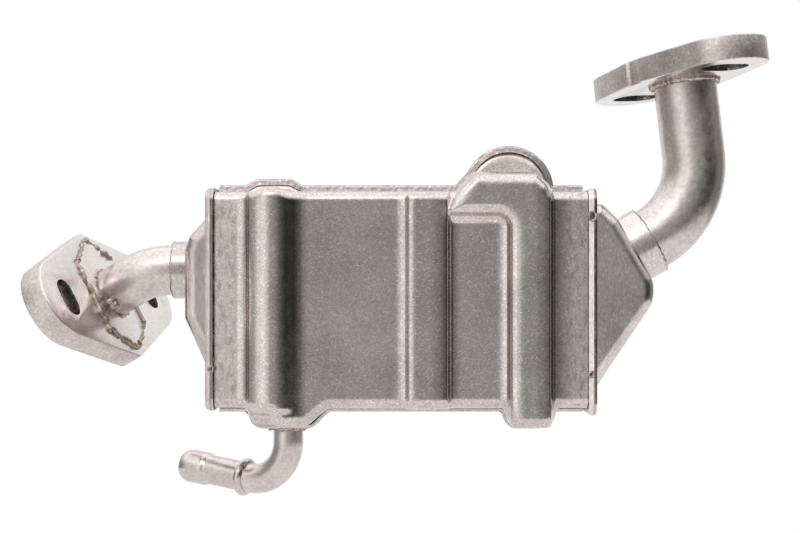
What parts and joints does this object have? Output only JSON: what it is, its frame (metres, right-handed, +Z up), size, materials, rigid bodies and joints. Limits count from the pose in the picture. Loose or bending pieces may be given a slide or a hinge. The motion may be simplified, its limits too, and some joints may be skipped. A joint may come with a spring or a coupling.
{
  "type": "egr cooler",
  "caption": "Pressed steel exhaust gas recirculation cooler with a flat tube core, bent gas pipes with slotted diamond flanges, and coolant spigots for push-on hoses.",
  "frame": {"origin": "on the mating face of the gas inlet flange, on the land between its bore and its front bolt slot", "axes": "+X along the gas flow through the core, -Y towards the large front face of the case, +Z up towards the gas outlet flange"},
  "size_m": [0.2622, 0.0958, 0.1678],
  "materials": {
    "pressed_steel": "pressed stainless sheet, satin, with a fine grain and a warm tint from brazing",
    "drawn_steel": "drawn stainless tube, smooth and bright",
    "plate_steel": "cut steel plate, grainy on its edges",
    "core_steel": "thin stainless sheet, brazed"
  },
  "bodies": {
    "root": {"front_shell": "pressed_steel", "back_shell": "pressed_steel", "inlet_header_plate": "pressed_steel", "outlet_header_plate": "pressed_steel", "gas_tube_1": "core_steel", "gas_tube_2": "core_steel", "gas_tube_3": "core_steel", "gas_tube_4": "core_steel", "gas_tube_5": "core_steel", "gas_tube_6": "core_steel", "gas_tube_7": "core_steel", "gas_tube_8": "core_steel", "gas_fin_1": "core_steel", "gas_fin_2": "core_steel", "gas_fin_3": "core_steel", "gas_fin_4": "core_steel", "gas_fin_5": "core_steel", "gas_fin_6": "core_steel", "gas_fin_7": "core_steel", "gas_fin_8": "core_steel", "inlet_tank": "pressed_steel", "outlet_tank": "pressed_steel", "gas_inlet_pipe": "drawn_steel", "gas_outlet_pipe": "drawn_steel", "gas_inlet_flange": "plate_steel", "gas_outlet_flange": "plate_steel", "coolant_inlet_pipe": "drawn_steel", "coolant_outlet_pipe": "drawn_steel"}
  },
  "joints": []
}
